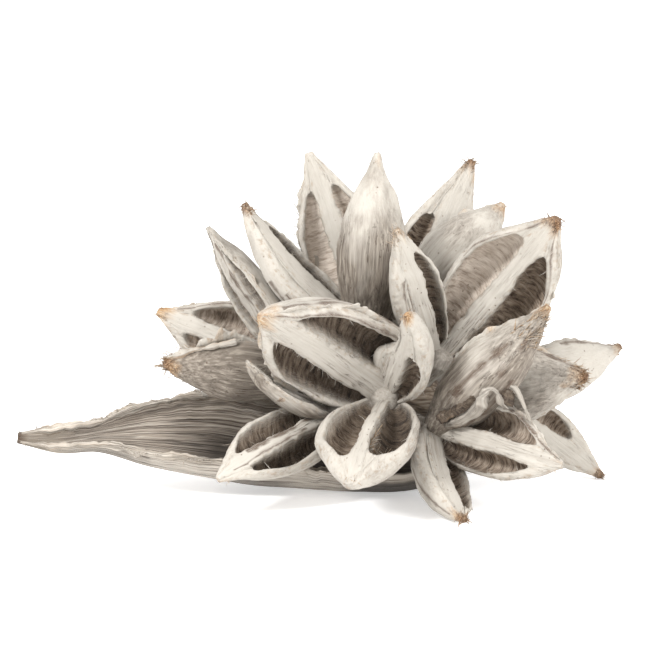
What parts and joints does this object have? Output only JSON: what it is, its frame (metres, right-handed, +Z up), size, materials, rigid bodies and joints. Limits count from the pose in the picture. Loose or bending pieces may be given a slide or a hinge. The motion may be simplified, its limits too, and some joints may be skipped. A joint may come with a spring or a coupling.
{
  "type": "dried star pod",
  "caption": "Dried woody seed head: star-like capsules, each split into boat-shaped valves with paired hollows, on a stem axis lying in a long beaked bract.",
  "frame": {"origin": "under the middle of the whole pod, at the level of the surface it lies on", "axes": "+Z up, -X towards the bract's beak, -Y the side of the picture, to which the front capsules open"},
  "size_m": [0.2828, 0.1989, 0.1574],
  "materials": {
    "husk": "matt, weathered, fibrous",
    "bract_husk": "matt, ridged along its length",
    "stem_wood": "matt"
  },
  "bodies": {
    "root": {"bract": "bract_husk", "stem_axis": "stem_wood", "capsule_front": "husk", "capsule_upper_right": "husk", "capsule_lower_right": "husk", "capsule_right": "husk", "capsule_top_right": "husk", "capsule_top_left": "husk", "capsule_left": "husk", "capsule_lower_left": "husk", "capsule_back_left": "husk", "capsule_back_right": "husk"}
  },
  "joints": []
}
